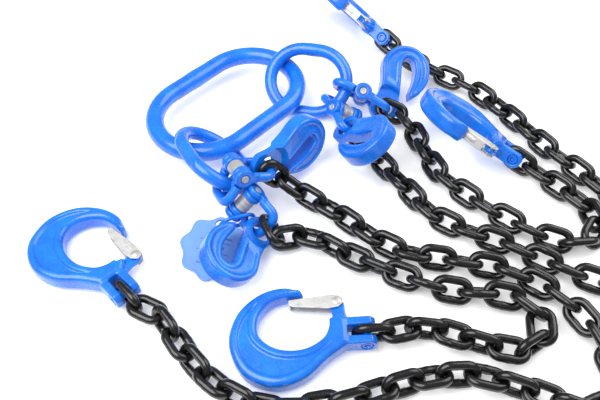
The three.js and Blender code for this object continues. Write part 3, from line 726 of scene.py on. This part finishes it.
def grab_frame(n):
    """Frame that lays the hook's outline on its CAD solid, flank axis on the swing joint."""
    at = hinge_at(f"grab_hook_{n}")
    axis = hinge_axis(f"grab_hook_{n}")
    points = node_points(f"grab_hook_{n}")
    best = (1e9, None)
    for z in (axis, -axis):
        base = placed(at, points.mean(0) - at, z)
        flat = into(base, points)
        for coarse in np.arange(-25, 25, 1.0):
            turn = math.radians(coarse)
            spin = np.array([[math.cos(turn), -math.sin(turn)], [math.sin(turn), math.cos(turn)]])
            far = flat[:, :2] @ spin
            far = far[np.hypot(far[:, 0], far[:, 1]) > 26]
            error = edge_distance(far, GRAB_OUTLINE).mean()
            if error < best[0]:
                x = base[:3, 0] * math.cos(turn) + base[:3, 1] * math.sin(turn)
                best = (error, placed(at, x, z))
    return best[1]


GRAB_MESH = grab_mesh()
for n in LEGS:
    piece(f"look_grab_hook_{n}", GRAB_MESH, grab_frame(n), f"grab_hook_{n}", "paint", f"grab_hook_{n}")


# ------------------------------------------------------------------ sling hooks

HOOK_BACK = [(-16, -12), (-34, -24), (-56, -42), (-82, -48), (-108, -36), (-121, -8), (-115, 20), (-96, 39)]
HOOK_BACK += [(-74, 46), (-56, 42)]
HOOK_INSIDE = [(-54, 37), (-68, 36), (-84, 31), (-95, 16), (-94, -2), (-78, -14), (-56, -15), (-38, -5)]
HOOK_INSIDE += [(-31, 10), (-26, 20), (-16, 12)]
HOOK_OUTLINE = np.concatenate([through(HOOK_BACK, 10), through(HOOK_INSIDE, 10)])


def shape_hook(points):
    """Sinks a forging groove into both flanks, along the middle of the bowl."""
    edge = edge_distance(points, HOOK_OUTLINE)
    bowl = step(30, 42, -points[:, 0]) * (1 - step(26, 34, points[:, 1]))
    sunk = 2.4 * step(7.0, 8.6, edge) * bowl
    points[:, 2] -= np.sign(points[:, 2]) * sunk * step(5, 8, np.abs(points[:, 2]))
    return points


def hook_mesh():
    bowl = slab(HOOK_OUTLINE, HOOK["thick"], 5.2)
    ear = HOOK["ear"]
    cut = ear / 2
    nose = [(cut, -ear), (ear, -cut), (ear, cut), (cut, ear)]
    thick = (HOOK["width"] - HOOK["slot"]) / 2
    middle = (HOOK["width"] + HOOK["slot"]) / 4
    parts = [bowl]
    for side in (-1, 1):
        plate = slab([(-28, -ear + 1), *nose, (-28, ear - 1)], thick, 1.3, [circle(0, 0, HOOK["bore"], 28)])
        parts.append(moved(plate, y=side * middle, turn=(90, "X")))
    root = [(-32, -ear + 1), (-HOOK["root"], -ear + 0.5), (-HOOK["root"], ear - 0.5), (-32, ear - 1)]
    parts.append(moved(slab(root, HOOK["width"], 1.3), turn=(90, "X")))
    x, y = LATCH["x"], LATCH["y"]
    lug = [(x + 9, 12), (x + 7, 22), (x + 6.5, y), (x, y + 6.5), (x - 6.5, y), (x - 5, 20), (x - 3, 12)]
    parts.append(slab(through(lug, 6), 5, 0.8, [circle(x, y, LATCH["bore"], 20)]))
    return fused("hook_body", parts, 0.8, 5, "paint", shape_hook, 3)


def hook_frame(n):
    """Load pin on the origin, load line along X and flank normal on the latch's axis."""
    at = hinge_at(f"sling_hook_{n}")
    normal = hinge_axis(f"latch_{n}")
    base = placed(at, hinge_at(f"latch_{n}") - at, normal)
    lean = -math.atan2(LATCH["y"], LATCH["x"])
    return placed(at, base[:3, 0] * math.cos(lean) + base[:3, 1] * math.sin(lean), normal)


def shifted(matrix, x, y, z=0.0):
    out = matrix.copy()
    out[:3, 3] += matrix[:3, :3] @ (np.array([x, y, z]) * MM)
    return out


def on_z(mesh):
    """A part turned about X, set up on Z."""
    mesh.transform(Matrix.Rotation(math.radians(90), 4, "Y"))
    return mesh


def on_y(mesh):
    """A part turned about X, set up on Y."""
    mesh.transform(Matrix.Rotation(math.radians(90), 4, "Z"))
    return mesh


def rivet_mesh():
    """The latch pin with a domed head over each cheek."""
    half = LATCH_PIN["length"] / 2
    face = LATCH["width"] / 2 + 0.1
    head = LATCH_PIN["head"]
    end = [(face, LATCH_PIN["radius"]), (face, head), (face + 0.35, head)]
    end += [(half - 0.1, head * 0.72), (half + 0.15, 0.02)]
    start = [(-x, r) for x, r in reversed(end)]
    return on_z(mesh_from("latch_pin", *lathe(start + end, 32), "bare_steel", 40))


def latch_mesh():
    """A folded channel: two cheeks, a web that ends short of the pivot and a closed nose."""
    length = LATCH["length"]
    nose = [(-length, 2.2), (-length, -2.2)]
    cheek = [*nose, (-length + 4, -4.5), (-8, -7.5), (1, -6.2), (6.2, -1.5), (5.2, 3.5), (0, 6.2), (-10, 6)]
    web = [*nose, (-length + 1.9, -3.2), (-length + 1.9, 0.7)]
    web += [(-10, 4.5), (-8.2, 4.6), (-8.2, 6.05), (-10, 6)]
    side = (LATCH["width"] - LATCH["sheet"]) / 2
    parts = [slab(web, LATCH["width"], 0.35)]
    for z in (-side, side):
        parts.append(moved(slab(cheek, LATCH["sheet"], 0.3, [circle(0, 0, LATCH["bore"], 20)]), z=z))
    rib = [(-36, 3.2), (-18, 5.2), (-18, 5.9), (-36, 3.9)]
    parts.append(slab(rib, 3.4, 0.3))
    return fused("latch", parts, 0.4, 2, "zinc")


def spring_mesh():
    """A turn and a half of wire beside the lug, its leg along the web."""
    radius = 3.9
    turn = np.linspace(0, 3 * math.pi, 60)
    coil = np.stack([radius * np.sin(turn), radius * np.cos(turn), 3.1 + 0.75 * turn / turn[-1]], 1)
    leg = np.stack([np.linspace(-12.5, -1.0, 12), np.full(12, 3.4), np.full(12, 3.1)], 1)
    path = np.concatenate([leg, coil[2:]])
    points, faces = tube(path, 0.45, 10, False)
    return mesh_from("latch_spring", points, faces, "bare_steel")


HOOK_MESH = hook_mesh()
LOAD_PIN_TURNED = shaft(LOAD_PIN["radius"], LOAD_PIN["length"] / 2, 0.7, dimple=1.6)
LOAD_PIN_MESH = on_y(mesh_from("load_pin", *LOAD_PIN_TURNED, "paint", 28))
RIVET_MESH = rivet_mesh()
LATCH_MESH = latch_mesh()
SPRING_MESH = spring_mesh()

for n in LEGS:
    hook = hook_frame(n)
    pivot = shifted(hook, LATCH["x"], LATCH["y"])
    body = f"sling_hook_{n}"
    piece(f"look_hook_body_{n}", HOOK_MESH, hook, body, "paint", f"hook_body_{n}")
    piece(f"look_load_pin_{n}", LOAD_PIN_MESH, hook, body, "paint", f"load_pin_{n}")
    piece(f"look_latch_pin_{n}", RIVET_MESH, pivot, body, "bare_steel", f"latch_pin_{n}")
    piece(f"look_latch_{n}", LATCH_MESH, pivot, f"latch_{n}", "zinc", f"latch_{n}")
    piece(f"look_latch_spring_{n}", SPRING_MESH, pivot, f"latch_{n}", "bare_steel", f"latch_spring_{n}")


# ------------------------------------------------------------------ tag

def tag_frame():
    points = node_points("tag")
    normal = main_axes(points)[1][2]
    normal = normal if normal[2] > 0 else -normal
    hole = hinge_at("tag")
    x = hole - points.mean(0)
    base = placed(hole, x, normal)
    return shifted(base, -TAG["hole_at"], 0)


def tag_outline(inset):
    turn = 2 * math.pi * np.arange(144) / 144
    radius = TAG["radius"] + TAG["wave"] * np.cos(TAG["lobes"] * turn) - inset
    return np.stack([radius * np.cos(turn), radius * np.sin(turn)], 1)


def tag_mesh():
    hole = circle(TAG["hole_at"], 0, TAG["hole"], 36)
    plate = slab(tag_outline(0), TAG["thick"] - 0.6, 0.7, [hole])
    rim = slab(tag_outline(0.2), TAG["thick"], 0.5, [tag_outline(2.4)])
    boss = slab(circle(TAG["hole_at"], 0, TAG["hole"] + 2.2, 36), TAG["thick"], 0.5, [hole])
    return fused("tag", [plate, rim, boss], 0.45, 2, "tag_paint")


def tag_marks_mesh():
    """Plain raised bars where a tag carries its lines of data."""
    bars = [(12, -6, 20, 1.6), (7, 0, 30, 0.7), (2, -6, 9, 2.6), (2, 6, 11, 2.6), (-4, 0, 32, 0.7)]
    bars += [(-10, -5, 13, 2.6), (-10, 8, 7, 2.6), (-17, 0, 24, 1.4)]
    both = bmesh.new()
    for x, y, length, width in bars:
        corners = [(x - width / 2, y - length / 2), (x + width / 2, y - length / 2)]
        corners += [(x + width / 2, y + length / 2), (x - width / 2, y + length / 2)]
        both.from_mesh(moved(slab(corners, 0.6, 0.2), z=TAG["thick"] / 2 - 0.25))
    mesh = bpy.data.meshes.new("tag_marks")
    both.to_mesh(mesh)
    both.free()
    mesh.materials.clear()
    mesh.materials.append(LOOKS["tag_marks"])
    return mesh


TAG_PLACE = tag_frame()
piece("look_tag", tag_mesh(), TAG_PLACE, "tag", "tag_paint", "tag")
piece("look_tag_marks", tag_marks_mesh(), TAG_PLACE, "tag", "tag_paint")


# ------------------------------------------------------------------ stage, light and camera

def add_floor():
    half = FLOOR["half"]
    mesh = bpy.data.meshes.new("floor")
    corners = [(-half, -half, 0), (half, -half, 0), (half, half, 0), (-half, half, 0)]
    mesh.from_pydata(corners, [], [(0, 1, 2, 3)])
    mesh.materials.append(pale_floor())
    floor = bpy.data.objects.new("floor", mesh)
    bpy.context.scene.collection.objects.link(floor)
    floor.location.z = -FLOOR["below"]


def add_area_light(name, place, size, watts):
    light = bpy.data.lights.new(name, "AREA")
    light.shape = "DISK"
    light.size = size
    light.energy = watts
    lamp = bpy.data.objects.new(name, light)
    bpy.context.scene.collection.objects.link(lamp)
    lamp.location = place
    lamp.rotation_euler = (CAMERA_TARGET - Vector(place)).to_track_quat("-Z", "Y").to_euler()


def add_world():
    world = bpy.data.worlds.new("world")
    world.use_nodes = True
    tree = world.node_tree
    background = tree.nodes["Background"]
    background.inputs["Color"].default_value = (1, 1, 1, 1)
    ray = tree.nodes.new("ShaderNodeLightPath")
    strength = tree.nodes.new("ShaderNodeMapRange")
    strength.inputs["To Min"].default_value = ROOM["light"]
    strength.inputs["To Max"].default_value = ROOM["reflected"]
    tree.links.new(ray.outputs["Is Glossy Ray"], strength.inputs["Value"])
    tree.links.new(strength.outputs["Result"], background.inputs["Strength"])
    bpy.context.scene.world = world


def add_camera():
    camera = bpy.data.objects.new("camera", bpy.data.cameras.new("camera"))
    bpy.context.scene.collection.objects.link(camera)
    camera.data.lens = CAMERA_LENS
    camera.data.sensor_width = 36
    back = Vector((0, -math.cos(CAMERA_ELEVATION), math.sin(CAMERA_ELEVATION)))
    camera.location = CAMERA_TARGET + back * CAMERA_DISTANCE
    camera.rotation_euler = (-back).to_track_quat("-Z", "Y").to_euler()
    bpy.context.scene.camera = camera


add_floor()
add_world()
for lamp_name, lamp_settings in LAMPS.items():
    add_area_light(lamp_name, *lamp_settings)
add_camera()
bpy.context.scene.view_settings.view_transform = "Standard"
